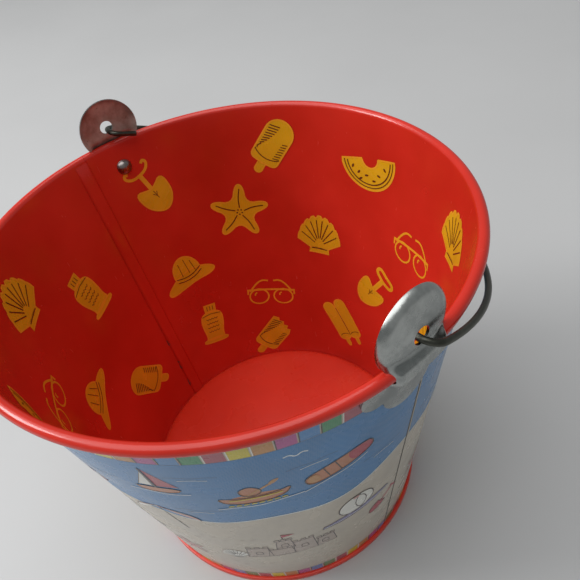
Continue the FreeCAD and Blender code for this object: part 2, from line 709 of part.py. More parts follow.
def main():
    seam, right = d("seam_turn"), d("ear_turn")
    left = f"(180 - {right})"
    parts = [
        body_panel("body_panel_back", seam, f"{seam} + {right}"),
        body_panel("body_panel_front", f"180 + {seam}", f"{seam} - {right}"),
        base_pan(),
        rim_wire(),
        bail_ear("bail_ear_right", right),
        bail_ear("bail_ear_left", left),
        ear_rivet("ear_rivet_right", right),
        ear_rivet("ear_rivet_left", left),
        bail_wire(),
    ]
    doc.recompute()
    check(parts)
    os.makedirs("parts", exist_ok=True)
    for part in parts:
        part.Shape.exportStep(f"parts/{part.Label}.step")
        box = part.Shape.BoundBox
        print(f"{part.Label:18s} {part.Shape.Volume:10.1f} mm3  "
              f"x {box.XMin:.1f}..{box.XMax:.1f}  y {box.YMin:.1f}..{box.YMax:.1f}  "
              f"z {box.ZMin:.2f}..{box.ZMax:.2f}")


main()
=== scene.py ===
from math import atan2, ceil, cos, degrees, floor, hypot, pi, radians, sin, sqrt, tan

import bmesh
import bpy
from mathutils import Matrix, Vector


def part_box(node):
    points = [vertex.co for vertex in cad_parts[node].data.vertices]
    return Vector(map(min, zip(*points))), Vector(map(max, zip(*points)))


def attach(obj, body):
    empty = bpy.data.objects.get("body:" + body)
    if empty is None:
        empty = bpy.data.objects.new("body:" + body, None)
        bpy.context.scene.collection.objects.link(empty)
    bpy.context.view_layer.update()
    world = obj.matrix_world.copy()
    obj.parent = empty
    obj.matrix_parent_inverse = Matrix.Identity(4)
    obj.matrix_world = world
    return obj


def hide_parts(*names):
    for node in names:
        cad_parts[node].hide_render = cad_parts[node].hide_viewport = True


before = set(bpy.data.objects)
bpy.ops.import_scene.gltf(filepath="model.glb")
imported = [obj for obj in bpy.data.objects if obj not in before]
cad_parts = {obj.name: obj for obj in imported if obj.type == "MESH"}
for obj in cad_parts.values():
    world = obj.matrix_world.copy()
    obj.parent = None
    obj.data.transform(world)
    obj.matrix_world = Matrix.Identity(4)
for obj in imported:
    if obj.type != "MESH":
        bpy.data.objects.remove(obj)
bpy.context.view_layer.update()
scene = bpy.context.scene

# ---- The two body panels ---------------------------------------------------------------------
# Each half of the body is 0.35 mm tinplate, printed flat on both faces, rolled to half a cone
# and curled outward over a wire at the rim. Its side edges are folded and hooked into the other
# half's, which leaves one fine groove outside and a flat strip inside.
MM = 0.001
TIN = 0.35
LEAN = radians(8.9)
CURL_RADIUS = 2.2
CURL_SWEEP = radians(318)
FOLD_RADIUS = 0.9
GROOVE_OFFSET = 3.16
SEAM_TURN = 10.0
HALF_TURN = 180.0
BODY_FLOOR = 3.0
WALL_HEIGHTS = (BODY_FLOOR, 40, 80, 120, 157)
CURL_STEPS = 40
PANEL_STEPS = 112
PLAIN_FROM, PLAIN_TO = 0.5, 176.5

panel_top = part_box("body_panel_back")[1] / MM
CURL_CENTRE = (panel_top.y - CURL_RADIUS, panel_top.z - CURL_RADIUS)


def inside_radius(height):
    """Radius of the wall's inner face, in mm, at a height in mm."""
    tangent_radius = CURL_CENTRE[0] - CURL_RADIUS * cos(LEAN)
    tangent_height = CURL_CENTRE[1] + CURL_RADIUS * sin(LEAN)
    return tangent_radius - (tangent_height - height) * tan(LEAN)


def outside_radius(height):
    """Radius of the wall's outer, printed face."""
    return inside_radius(height) + TIN / cos(LEAN)


def polar(turn, radius, height):
    """The point at an angle in degrees, a radius and a height in mm, in metres."""
    angle = radians(turn)
    return Vector((radius * cos(angle), radius * sin(angle), height)) * MM


def add_piece(name, mesh, *materials):
    """Turns a closed mesh's faces outwards and links it as a smooth-shaded piece."""
    shape = bmesh.new()
    shape.from_mesh(mesh)
    bmesh.ops.recalc_face_normals(shape, faces=shape.faces[:])
    shape.to_mesh(mesh)
    shape.free()
    return link_piece(name, mesh, *materials)


def link_piece(name, mesh, *materials, crease=40):
    """Links a mesh as it is, with its materials, shaded smooth up to the crease angle."""
    for material in materials:
        mesh.materials.append(material)
    mesh.shade_smooth()
    mesh.set_sharp_from_angle(angle=radians(crease))
    piece = bpy.data.objects.new(name, mesh)
    scene.collection.objects.link(piece)
    return piece


def skin(name, rings, closed=False, capped=True):
    """A mesh of quads between rings of points. closed joins the last ring to the first."""
    size = len(rings[0])
    spans = len(rings) if closed else len(rings) - 1
    faces = []
    for i in range(spans):
        here, there = i * size, (i + 1) % len(rings) * size
        for j in range(size):
            k = (j + 1) % size
            faces.append((here + j, here + k, there + k, there + j))
    if capped and not closed:
        faces += [tuple(range(size)), tuple(range(len(rings) * size - 1, spans * size - 1, -1))]
    mesh = bpy.data.meshes.new(name)
    mesh.from_pydata([point for ring in rings for point in ring], [], faces)
    return mesh


def linear(code):
    """An sRGB hex colour as linear RGBA."""
    parts = [int(code[i:i + 2], 16) / 255 for i in (1, 3, 5)]
    return [c / 12.92 if c <= 0.04045 else ((c + 0.055) / 1.055) ** 2.4 for c in parts] + [1]


def per_mm(size):
    """Texture scale that makes a pattern's features about size mm, in metre coordinates."""
    return 1 / (size * MM)


def node(tree, kind, settings=None, links=None):
    """Adds a shader node, sets its options and inputs, and links outputs into its inputs."""
    made = tree.nodes.new("ShaderNode" + kind)
    for key, value in (settings or {}).items():
        if isinstance(key, int) or key in made.inputs:
            made.inputs[key].default_value = value
        else:
            setattr(made, key, value)
    for key, output in (links or {}).items():
        tree.links.new(output, made.inputs[key])
    return made


def new_finish(name):
    """An empty node material with its shader and the pail's own coordinates, in metres."""
    material = bpy.data.materials.new(name)
    material.use_nodes = True
    tree = material.node_tree
    shader = tree.nodes["Principled BSDF"]
    place = node(tree, "TexCoord").outputs["Object"]
    return material, tree, shader, place


def stoved_enamel(name, colour, deep, gloss=0.2, cloud=60, peel=0.018):
    """Stoved enamel on tin: a thick even gloss coat, rolled on and baked. It gives soft, wide
    reflections, a faint orange peel, slight clouding of the colour and hairline scuffs."""
    material, tree, shader, place = new_finish(name)
    clouds = node(tree, "TexNoise", {"Scale": per_mm(cloud), "Detail": 3, "Roughness": 0.55},
                  {"Vector": place})
    tone = node(tree, "MapRange", {"From Min": 0.32, "From Max": 0.7}, {"Value": clouds.outputs[0]})
    base = node(tree, "Mix", {"data_type": "RGBA", 6: linear(deep), 7: linear(colour)},
                {0: tone.outputs[0]})
    stretched = node(tree, "Mapping", {"Rotation": (0.5, 0.35, 0.9), "Scale": (1, 1, 0.03)},
                     {"Vector": place})
    hairlines = node(tree, "TexNoise", {"Scale": per_mm(1.3), "Detail": 2, "Distortion": 0.2},
                     {"Vector": stretched.outputs[0]})
    scuffs = node(tree, "MapRange", {"From Min": 0.735, "From Max": 0.8},
                  {"Value": hairlines.outputs[0]})
    worn = node(tree, "Mix", {"data_type": "RGBA", "blend_type": "SCREEN",
                              7: linear("#3a2a26")}, {0: scuffs.outputs[0], 6: base.outputs[2]})
    smears = node(tree, "TexNoise", {"Scale": per_mm(22), "Detail": 5}, {"Vector": place})
    dull = node(tree, "MapRange", {"From Min": 0.3, "From Max": 0.75, "To Min": gloss - 0.05,
                                   "To Max": gloss + 0.1}, {"Value": smears.outputs[0]})
    rough = node(tree, "Math", {"operation": "MULTIPLY_ADD", 1: 0.22},
                 {0: scuffs.outputs[0], 2: dull.outputs[0]})
    skin_noise = node(tree, "TexNoise", {"Scale": per_mm(1.6), "Detail": 2}, {"Vector": place})
    relief = node(tree, "Bump", {"Strength": 0.35, "Distance": peel * MM},
                  {"Height": skin_noise.outputs[0]})
    tree.links.new(worn.outputs[2], shader.inputs["Base Color"])
    tree.links.new(rough.outputs[0], shader.inputs["Roughness"])
    tree.links.new(relief.outputs[0], shader.inputs["Normal"])
    shader.inputs["IOR"].default_value = 1.5
    return material


def litho_ink(name, colour, gloss=0.24, tooth=0.06):
    """Offset litho ink under clear varnish: a flat colour built of a fine dot screen. The real
    screen is 0.15 mm, too fine to show, so it is drawn at 0.7 mm, with faint uneven inking."""
    material, tree, shader, place = new_finish(name)
    full = linear(colour)
    thin = [c + (0.8 - c) * tooth for c in full[:3]] + [1]
    dots = node(tree, "TexVoronoi", {"Scale": per_mm(0.7), "Randomness": 0.25}, {"Vector": place})
    screen = node(tree, "MapRange", {"From Min": 0.25, "From Max": 0.6},
                  {"Value": dots.outputs["Distance"]})
    inked = node(tree, "Mix", {"data_type": "RGBA", 6: full, 7: thin}, {0: screen.outputs[0]})
    patches = node(tree, "TexNoise", {"Scale": per_mm(18), "Detail": 4}, {"Vector": place})
    amount = node(tree, "MapRange", {"From Min": 0.3, "From Max": 0.7, "To Min": 0.86,
                                     "To Max": 1.04}, {"Value": patches.outputs[0]})
    toned = node(tree, "VectorMath", {"operation": "SCALE"},
                 {0: inked.outputs[2], "Scale": amount.outputs[0]})
    dull = node(tree, "MapRange", {"From Min": 0.3, "From Max": 0.7, "To Min": gloss - 0.05,
                                   "To Max": gloss + 0.08}, {"Value": patches.outputs[0]})
    varnish = node(tree, "TexNoise", {"Scale": per_mm(2.4), "Detail": 2}, {"Vector": place})
    relief = node(tree, "Bump", {"Strength": 0.3, "Distance": 0.012 * MM},
                  {"Height": varnish.outputs[0]})
    tree.links.new(toned.outputs[0], shader.inputs["Base Color"])
    tree.links.new(dull.outputs[0], shader.inputs["Roughness"])
    tree.links.new(relief.outputs[0], shader.inputs["Normal"])
    shader.inputs["IOR"].default_value = 1.5
    return material


red_enamel = stoved_enamel("red_stoved_enamel", "#d23023", "#bc2617")
sand_ink = litho_ink("sand_litho_ink", "#c3b9a8")


def edge_steps(direction):
    """Distances from a panel's folded edge, in mm, each with how far the fold dips in."""
    steps = []
    for distance in (0.06, 0.2, 0.4, 0.62, FOLD_RADIUS):
        dip = FOLD_RADIUS - sqrt(FOLD_RADIUS ** 2 - (FOLD_RADIUS - distance) ** 2)
        steps.append((direction * distance, dip))
    return steps if direction > 0 else steps[::-1]


def body_panel(name, node_name, seam_turn):
    """Half of the body, from the groove of one side seam to the groove of the next."""
    turns = [pi - LEAN - CURL_SWEEP * i / CURL_STEPS for i in range(CURL_STEPS + 1)]
    profile = [(inside_radius(z), z, 1) for z in WALL_HEIGHTS]
    for radius, order in ((CURL_RADIUS, turns), (CURL_RADIUS - TIN, turns[::-1])):
        profile += [(CURL_CENTRE[0] + radius * cos(t), CURL_CENTRE[1] + radius * sin(t), 0)
                    for t in order]
    profile += [(outside_radius(z), z, 1) for z in WALL_HEIGHTS[::-1]]
    places = [(seam_turn, shift - GROOVE_OFFSET, dip) for shift, dip in edge_steps(1)]
    places += [(seam_turn + PLAIN_FROM + (PLAIN_TO - PLAIN_FROM) * i / PANEL_STEPS, 0, 0)
               for i in range(PANEL_STEPS + 1)]
    places += [(seam_turn + HALF_TURN, shift - GROOVE_OFFSET, dip) for shift, dip in edge_steps(-1)]
    rings = [[polar(turn + degrees(shift / radius), radius - dip * on_wall, height)
              for radius, height, on_wall in profile] for turn, shift, dip in places]
    mesh = skin(name, rings)
    print_from = len(profile) - len(WALL_HEIGHTS) - 1
    for i, face in enumerate(mesh.polygons):
        face.material_index = 1 if print_from <= i % len(profile) < len(profile) - 1 else 0
    piece = add_piece(name, mesh, red_enamel, sand_ink)
    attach(piece, "pail")
    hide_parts(node_name)


body_panel("back_panel_tin", "body_panel_back", SEAM_TURN)
body_panel("front_panel_tin", "body_panel_front", SEAM_TURN + HALF_TURN)

# ---- The side seams --------------------------------------------------------------------------
# The hooked edges of the two panels, four layers of tin hammered flat, stand about 1.1 mm into
# the pail as a strip 7 mm wide. The enamel cracked where the fold was hammered, so its edge
# shows a few dark chips low down.
SEAM_PROUD = 1.14
SEAM_TOP = 158.0
# Width of the near-black strip that paints the shadow in the outside groove.
GROOVE_SHADOW_WIDTH = 1.4


def along_seam(turn, across, inward, height):
    """A point on the inner wall beside a seam: mm across it and mm in from the wall's face."""
    radius = inside_radius(height)
    return polar(turn + degrees(across / radius), radius - inward, height)


def seam_strip(name, turn):
    """The flattened seam inside, with rounded folds and its top end pressed down."""
    half = [(3.5, -0.1), (3.5, 0.1), (3.42, 0.5), (3.15, 0.86), (2.75, 1.07), (2.2, SEAM_PROUD)]
    section = half + [(-across, inward) for across, inward in half[::-1]]
    rings = []
    for height, rise in ((BODY_FLOOR, 1), (60, 1), (110, 1), (150, 1), (154, 0.9),
                         (SEAM_TOP, 0.6), (161, 0.2), (162.4, 0.02)):
        rings.append([along_seam(turn, across, inward * rise, height)
                      for across, inward in section])
    piece = add_piece(name, skin(name, rings), red_enamel)
    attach(piece, "pail")


bare_edge = litho_ink("oxidised_tin_edge", "#3b1712", gloss=0.5, tooth=0.05)


def seam_chips(name, turn, chips):
    """Dark flakes along the fold's edge: each a height, a length and a width in mm."""
    flakes = bmesh.new()
    for height, length, width in chips:
        corners = [(3.62, 0), (3.5 + width, 0.3), (3.56 + width * 0.6, 0.72), (3.6, 1.0)]
        back = [(3.0, 0.9), (3.12, 0.55), (2.96, 0.2)]
        points = [(a, height + (b - 0.5) * length, 0.06) for a, b in corners]
        points += [(a, height + (b - 0.5) * length, 1.02) for a, b in back]
        flakes.faces.new([flakes.verts.new(along_seam(turn, a, lift, z))
                              for a, z, lift in points])
    bmesh.ops.triangulate(flakes, faces=flakes.faces[:])
    mesh = bpy.data.meshes.new(name)
    flakes.to_mesh(mesh)
    flakes.free()
    piece = add_piece(name, mesh, bare_edge)
    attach(piece, "pail")


seam_strip("side_seam_right", SEAM_TURN)
seam_strip("side_seam_left", SEAM_TURN + HALF_TURN)
seam_chips("seam_chips_left", SEAM_TURN + HALF_TURN,
           [(47, 5, 0.5), (31, 2.2, 0.3), (27, 4.2, 0.6), (13, 6, 0.5)])
seam_chips("seam_chips_right", SEAM_TURN, [(58, 3, 0.3), (22, 4.5, 0.4)])


# Painted shadow: a near-black ink laid in the bottom of the outside groove, where there is only shade.
groove_shadow_ink = litho_ink("painted_shadow_in_the_groove", "#17110f", gloss=0.6, tooth=0.02)


def painted_groove_shadow(name, turn):
    """A near-black strip at the bottom of the outside groove: the groove's shadow, painted on."""
    half = GROOVE_SHADOW_WIDTH / 2
    rings = []
    for height in (BODY_FLOOR + 1, 40, 80, 120, 154.5):
        radius = outside_radius(height)
        rings.append([polar(turn + degrees((across - GROOVE_OFFSET) / radius), radius - depth, height)
                      for across, depth in ((-half, 0.12), (half, 0.12), (half, 0.3), (-half, 0.3))])
    piece = add_piece(name, skin(name, rings), groove_shadow_ink)
    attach(piece, "pail")


painted_groove_shadow("painted_groove_shadow_right", SEAM_TURN)
painted_groove_shadow("painted_groove_shadow_left", SEAM_TURN + HALF_TURN)

# ---- The base pan ----------------------------------------------------------------------------
# A disc of tinplate stamped with a slight dome, red enamelled, and rolled together with the
# body's bottom edge into a double seam. The seam is the ring the pail stands on.
FOOT_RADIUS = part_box("base_pan")[1].x / MM
DISC_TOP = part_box("base_pan")[1].z / MM
DISC_EDGE = 2.85


def base_profile():
    """Half section of the pan and its foot ring, from the middle of the dome round to below."""
    dome = [(radius, DISC_TOP - (DISC_TOP - DISC_EDGE) * (radius / 70.5) ** 2)
            for radius in (0.01, 12, 24, 36, 48, 58, 66, 70.5)]
    edge = [(71.1, 2.7), (71.5, 2.35), (71.62, 1.9), (72.2, 1.9), (72.2, 2.9), (72.5, 3.2)]
    ring = [(73.2, 3.2), (73.6, 3.06), (73.8, 2.7), (FOOT_RADIUS, 2.3), (FOOT_RADIUS, 0.8),
            (73.78, 0.35), (73.55, 0.08), (73.2, 0), (71.6, 0), (71.25, 0.1), (71.05, 0.4),
            (71.0, 0.9), (70.95, 2.0), (70.7, 2.3)]
    under = [(radius, height - TIN) for radius, height in dome[-2::-1]]
    return dome + edge + ring + under


base_enamel = stoved_enamel("bright_red_stoved_enamel", "#e43a24", "#d42f1a", gloss=0.27)
rings = [[polar(360 * i / 180, radius, height) for radius, height in base_profile()]
         for i in range(180)]
base = add_piece("base_pan_tin", skin("base_pan_tin", rings, closed=True), base_enamel)
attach(base, "pail")
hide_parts("base_pan")

# ---- The printed icons inside ----------------------------------------------------------------
# The sheets were printed before they were rolled: gold beach icons on the red, each a gold fill,
# a lighter outline and thin brown lines. Both panels carry the same sheet of icons. Each ink is
# a layer of its own that follows the cone.
INK_LAYER = 0.05
CUT_STEP = 2.5


def wrap(x, y, turn, height, outside, lift):
    """A point of the flat sheet, in mm from an icon's centre, rolled onto the wall in metres.
    x is to the right and y up as the viewer of that face sees it."""
    radius = outside_radius(height) if outside else inside_radius(height)
    slant = radius / sin(LEAN)
    length, swing = hypot(x, slant + y), degrees(atan2(x, slant + y) / sin(LEAN))
    side = 1 if outside else -1
    return polar(turn + side * swing, length * sin(LEAN) + side * lift * cos(LEAN),
                 height + (length - slant) * cos(LEAN) - side * lift * sin(LEAN))


def arc(x, y, radius, start, end, steps=12, flat=1.0):
    """Points along an arc in degrees; flat squeezes it in y."""
    angles = [radians(start + (end - start) * i / steps) for i in range(steps + 1)]
    return [(x + radius * cos(a), y + flat * radius * sin(a)) for a in angles]


def soften(points, passes=2, closed=True):
    """Rounds the corners of an outline by cutting each at a quarter."""
    for _ in range(passes):
        rounded = [] if closed else [points[0]]
        for i in range(len(points) if closed else len(points) - 1):
            (ax, ay), (bx, by) = points[i], points[(i + 1) % len(points)]
            rounded += [(0.75 * ax + 0.25 * bx, 0.75 * ay + 0.25 * by),
                        (0.25 * ax + 0.75 * bx, 0.25 * ay + 0.75 * by)]
        points = rounded if closed else rounded + [points[-1]]
    return points


def line(points, width, closed=False):
    """A drawn line as quads: each point is widened across the line's direction there."""
    sides = []
    count = len(points)
    for i, (x, y) in enumerate(points):
        ax, ay = points[i - 1] if closed or i > 0 else points[i]
        bx, by = points[(i + 1) % count] if closed or i < count - 1 else points[i]
        length = hypot(bx - ax, by - ay) or 1
        nx, ny = (ay - by) / length * width / 2, (bx - ax) / length * width / 2
        sides.append(((x + nx, y + ny), (x - nx, y - ny)))
    spans = count if closed else count - 1
    return [[sides[i][1], sides[(i + 1) % count][1], sides[(i + 1) % count][0], sides[i][0]]
            for i in range(spans)]


def anticlockwise(face):
    """The face's points in anticlockwise order, so that its front looks at the viewer."""
    area = sum(a[0] * b[1] - b[0] * a[1] for a, b in zip(face, face[1:] + face[:1]))
    return face if area > 0 else face[::-1]


def outlined(points, fill, border, width=0.9):
    """A filled outline with its border line."""
    return [(fill, [points]), (border, line(points, width, closed=True))]


class Sheet:
    """One printed face of a panel: flat drawings go in, and come out rolled onto the wall."""

    def __init__(self, outside, inks):
        self.outside, self.inks, self.shape = outside, inks, bmesh.new()

    def draw(self, layers, turn, height, tilt=0, scale=1.0):
        """Adds a drawing's layers of ink, tilted anticlockwise, around a place on the wall."""
        a = radians(tilt)
        for order, (ink, faces) in enumerate(layers):
            flat = bmesh.new()
            for face in faces:
                turned = [(scale * (x * cos(a) - y * sin(a)), scale * (x * sin(a) + y * cos(a)))
                          for x, y in face]
                flat.faces.new([flat.verts.new((x, y, 0)) for x, y in anticlockwise(turned)])
            reach = [v.co.x for v in flat.verts]
            for cut in range(ceil(min(reach) / CUT_STEP), floor(max(reach) / CUT_STEP) + 1):
                parts = flat.verts[:] + flat.edges[:] + flat.faces[:]
                bmesh.ops.bisect_plane(flat, geom=parts, plane_co=(cut * CUT_STEP, 0, 0),
                                       plane_no=(1, 0, 0), dist=1e-6)
            bmesh.ops.triangulate(flat, faces=[f for f in flat.faces if len(f.verts) > 4])
            lift = INK_LAYER * (order + 1)
            corners = [self.shape.verts.new(wrap(v.co.x, v.co.y, turn, height, self.outside, lift))
                       for v in flat.verts]
            flat.verts.index_update()
            for face in flat.faces:
                made = self.shape.faces.new([corners[v.index] for v in face.verts])
                made.material_index = list(self.inks).index(ink)
            flat.free()

    def finish(self, name):
        """Makes the sheet's piece, with one material for each ink."""
        mesh = bpy.data.meshes.new(name)
        self.shape.to_mesh(mesh)
        self.shape.free()
        piece = link_piece(name, mesh, *self.inks.values())
        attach(piece, "pail")


def ice_lolly(fill="gold", border="pale_gold", mark="brown", bitten=False):
    """A single ice lolly with a shaded side; the bitten one has lost its round top."""
    top = arc(0, 7.9, 7.8, 0, 180, 16)
    if bitten:
        top = [(7.8, 6.5), (6.4, 9.6), (4.2, 8.8), (3.4, 11.2), (0.8, 10.2), (-0.6, 12.4),
               (-3.2, 11.4), (-4.6, 13.2), (-7.8, 12.6)]
    body = top + [(-7.8, -6)] + arc(-5, -7.4, 2.8, 180, 270, 4) + [(0, -10.8)]
    body += arc(5, -7.4, 2.8, 270, 360, 4)
    stick = [(-2.1, -10), (-2.1, -14.4)] + arc(0, -14.6, 2.1, 180, 360, 8) + [(2.1, -10)]
    hatch = []
    for i in range(10):
        y = 11 - 1.6 * i
        hatch += line([(-6.6, y - 1), (-1.2 - 0.07 * i * i, y + 0.5)], 0.6)
        if i > 2:
            hatch += line([(7, y - 1), (4.6 - 0.1 * i, y - 2.2)], 0.5)
    hatch += line(arc(0, 4, 11.6, 230, 310, 8), 0.5)
    return outlined(stick, fill, border) + outlined(body, fill, border) + [(mark, hatch)]


def twin_lolly():
    """Two long ice lollies side by side on two sticks."""
    layers = []
    for side in (-1, 1):
        bar = arc(side * 4.1, 12.4, 3.6, 0, 180, 10) + [(side * 4.1 - 4.1, -9)]
        bar += arc(side * 4.1, -9, 4.1, 180, 360, 8, flat=0.6)
        stick = [(side * 4 - 1.2, -10), (side * 4 - 1.2, -16), (side * 4 + 1.2, -16),
                 (side * 4 + 1.2, -10)]
        layers += outlined(soften(stick, 1), "gold", "pale_gold", 0.7)
        layers += outlined(bar, "gold", "pale_gold")
    marks = line([(0, 11), (0, -9)], 0.4)
    for side in (-1, 1):
        marks += line(arc(side * 4.1, -9, 3.4, 20, 160, 8, flat=0.5), 0.42)
    return merge_layers(layers) + [("brown", marks)]


def merge_layers(layers):
    """Puts a drawing's fills in one layer and its borders in the next, so nothing stacks up."""
    inks = []
    for ink, _ in layers:
        if ink not in inks:
            inks.append(ink)
    return [(ink, [face for kind, faces in layers if kind == ink for face in faces])
            for ink in inks]


def melon_slice():
    """A slice of water melon with its rind, seeds and one bite."""
    outline = arc(0, 8, 16.4, 180, 360, 26) + [(5.6, 8)] + arc(0.6, 8.2, 5, 0, -180, 10)
    rind = line(arc(0, 8, 13.4, 184, 356, 24), 0.65) + line(arc(0, 8, 15.1, 182, 358, 24), 0.5)
    seeds = []
    for x, y, lean in ((-10.4, 4, 60), (-7.2, 1, 40), (-6.4, -2.4, 20), (-2.6, -0.6, 5),
                       (1.8, -3.2, 0), (5.2, -0.2, -25), (9.4, 3.4, -55)):
        a = radians(lean)
        seeds.append([(x + u * cos(a) - v * sin(a), y + u * sin(a) + v * cos(a))
                      for u, v in arc(0, 0, 1.15, 0, 315, 7, flat=0.5)])
    return outlined(outline, "gold", "pale_gold") + [("brown", rind + seeds)]


def starfish(fill="gold", border="pale_gold", mark="brown"):
    """A five-armed starfish, each arm with a ridge line."""
    outline, ridges = [], []
    for i in range(5):
        a = 90 + 72 * i
        for angle, radius in ((a - 36, 6.4), (a - 7, 16.6), (a + 7, 16.6)):
            outline.append((radius * cos(radians(angle)), radius * sin(radians(angle))))
        ridges += line([(r * cos(radians(a + bend)), r * sin(radians(a + bend)))
                        for r, bend in ((2.6, 0), (7, 4), (10, 2), (14, -1))], 0.6)
        ridges += [arc(1.5 * cos(radians(a + 36)), 1.5 * sin(radians(a + 36)), 0.5, 0, 300, 5)]
    return outlined(soften(outline), fill, border) + [(mark, ridges)]


def shell(fill="gold", border="pale_gold", mark="brown"):
    """A scallop shell: a ribbed fan on a small hinge."""
    rim = []
    for i in range(9):
        a = 22 + 17 * i
        rim += [((20.4 - 0.2 * abs(i - 4)) * cos(radians(a + t)), -9.5 + r * sin(radians(a + t)))
                for t, r in ((-7.5, 19.4), (-3, 20.8), (3, 20.8), (7.5, 19.4))]
    rim = [(x * 0.68, y) for x, y in rim]
    fan = rim + [(-5.2, -9.6), (5.2, -9.6)]
    hinge = [(-5.6, -9.6), (-6, -12.6), (6, -12.6), (5.6, -9.6)]
    ribs = line([(-4.6, -9.9), (4.8, -9.9)], 0.6)
    for i in range(8):
        a = radians(30.5 + 17 * i)
        ribs += line([(4.5 * cos(a) * 0.68, -9.5 + 6.5 * sin(a)),
                      (18 * cos(a) * 0.68, -9.5 + 18.2 * sin(a))], 0.55)
    return merge_layers(outlined(hinge, fill, border) + outlined(fan, fill, border)) + [(mark, ribs)]


def toy_spade(open_loop=False):
    """A child's spade. Its wire handle is a loop, or is left open with its ends curled in."""
    blade = soften([(-1.5, -0.5), (-8.8, 3.2), (-8.6, -7), (-4.8, -13), (0, -15.5), (4.8, -13),
                    (8.6, -7), (8.8, 3.2), (1.5, -0.5)])
    loop = soften([(-6.8, 13.8), (-6.2, 11), (0, 9.6), (6.2, 11), (6.8, 13.8), (5, 15.2),
                   (0, 14.6), (-5, 15.2)])
    marks = line([(-1.2, -3.4), (0, -5.4), (1.4, -3.2)], 0.4) + line([(0, -2), (0.2, -7)], 0.35)
    handle = line(loop, 2.0, closed=True) + line([(0, 10.4), (0, -1.5)], 3.0)
    core = line(loop, 0.7, closed=True) + line([(0, 10.4), (0, -2.5)], 1.3)
    if open_loop:
        horns = soften([(-4.6, 13.6), (-6.2, 14.8), (-7.4, 12.6), (-4.6, 9.6), (0, 9), (4.6, 9.6),
                        (7.4, 12.6), (6.2, 14.8), (4.6, 13.6)], 3, False)
        handle = line(horns, 1.5) + line([(0, 9.4), (0, -1.5)], 2.4)
        core = []
    return [("pale_gold", handle), ("gold", [blade] + core),
            ("pale_gold", line(blade, 0.9, closed=True)), ("brown", marks)]


def sun_hat():
    """A floppy sun hat with a round crown and a drooping brim."""
    brim = soften([(-16.4, -6.2), (-15, -9.6), (-6, -9.2), (3, -8.2), (12, -8.6), (16.4, -5.6),
                   (11, -1.6), (4, 0.4), (-5, 0), (-11, -2.8)])
    crown = soften([(-8, -4.4), (-8.6, 1.5), (-6.4, 7.4), (-1.5, 10.6), (3.4, 9.4), (7, 5),
                    (8.2, -1.4), (5, -4.4), (-1, -5.2)])
    marks = line(soften([(-8, -1.2), (-3, -3.2), (3, -3), (8, -0.6)], 2, False), 0.55)
    marks += line(soften([(-8, -3.6), (-3, -5.4), (3, -5.2), (8, -2.8)], 2, False), 0.55)
    for x, top in ((-3.2, 7.2), (0.8, 8.4), (4, 6)):
        marks += line([(x, top), (x * 1.15, -1.6)], 0.34)
    return merge_layers(outlined(brim, "gold", "pale_gold") + outlined(crown, "gold", "pale_gold")) \
        + [("brown", marks)]


def sunglasses():
    """Round sunglasses drawn in line only, with the arms open behind."""
    frame_lines = line([(-14.8, 1.5), (14.8, 1.5)], 1.3) + line([(-14.2, 1.5), (-14.4, -1.6)], 1)
    frame_lines += line([(14.2, 1.5), (14.4, -1.6)], 1)
    for side in (-1, 1):
        frame_lines += line(arc(side * 7.5, -3.4, 5.9, 0, 342, 19, flat=0.92), 0.95, closed=True)
        arm = soften([(side * 13, 0.6), (side * 9, 6), (side * 5.4, 8.6), (side * 1.6, 8)], 2, False)
        frame_lines += line(arm, 1.1)
    glints = line(arc(-8.4, -2.2, 1.6, 100, 200, 4), 0.9) + line(arc(6.8, -2.2, 1.6, 100, 200, 4), 0.9)
    return [("pale_gold", frame_lines + glints)]


def cream_tube():
    """A tube of sun cream with a ribbed cap and a rolled end; its label is only waves."""
    body = soften([(-3.4, 10), (-6.6, 7.4), (-6.8, 1), (-5, -7), (-5.6, -10.6), (6.2, -10.6),
                   (5.4, -7), (6.8, 1), (6.6, 7.4), (3.4, 10)])
    cap = [(-3.3, 10), (-3.6, 15), (3.6, 15), (3.3, 10)]
    roll = soften([(-7.6, -9.4), (-7.8, -12.4), (7.6, -13.2), (8, -10)])
    marks = line([(-6, 7.6), (0, 8.4), (6, 7.6)], 0.42)
    for x in (-1.8, 0, 1.8):
        marks += line([(x, 11), (x, 14)], 0.4)
    for y in (4.6, 1.6, -1.4, -4.4):
        marks += line([(-3.6 + 0.9 * i, y + 0.5 * (-1) ** i) for i in range(9)], 0.45)
    return merge_layers(outlined(cap, "gold", "pale_gold") + outlined(body, "gold", "pale_gold")
                        + outlined(roll, "gold", "pale_gold")) + [("brown", marks)]


gold_inks = {"gold": litho_ink("gold_litho_ink", "#dba808", tooth=0.02),
             "pale_gold": litho_ink("pale_gold_litho_ink", "#e8a51c", tooth=0.02),
             "brown": litho_ink("brown_litho_ink", "#5f2605", tooth=0.02)}

# Each icon: what it is, how far round the panel in degrees, its height in mm and its tilt.
icons = [
    (ice_lolly, 120.8, 142.5, -37), (melon_slice, 86, 134.5, 10),
    (starfish, 136, 107, -9), (shell, 106.5, 92, -3), (sun_hat, 162, 81, 7),
    (sunglasses, 130.3, 51, -6), (cream_tube, 160, 39, -7), (twin_lolly, 96.5, 33, 32),
    (toy_spade, 81.5, 68, -35), (sunglasses, 64.5, 106.5, 5), (shell, 43.5, 138.6, 6),
    (cream_tube, 20, 107, 16), (sun_hat, 46, 73, 30), (ice_lolly, 19.5, 40, 45),
]
for name, start in (("gold_icons_back", SEAM_TURN), ("gold_icons_front", SEAM_TURN + HALF_TURN)):
    sheet = Sheet(False, gold_inks)
    for drawing, turn, height, tilt in icons:
        sheet.draw(drawing(), start + turn, height, tilt)
    sheet.draw(ice_lolly(bitten=True), start + 133.4, 17.6, -43)
    sheet.draw(toy_spade(open_loop=True), start + 163, 135.6, 19)
    sheet.finish(name)

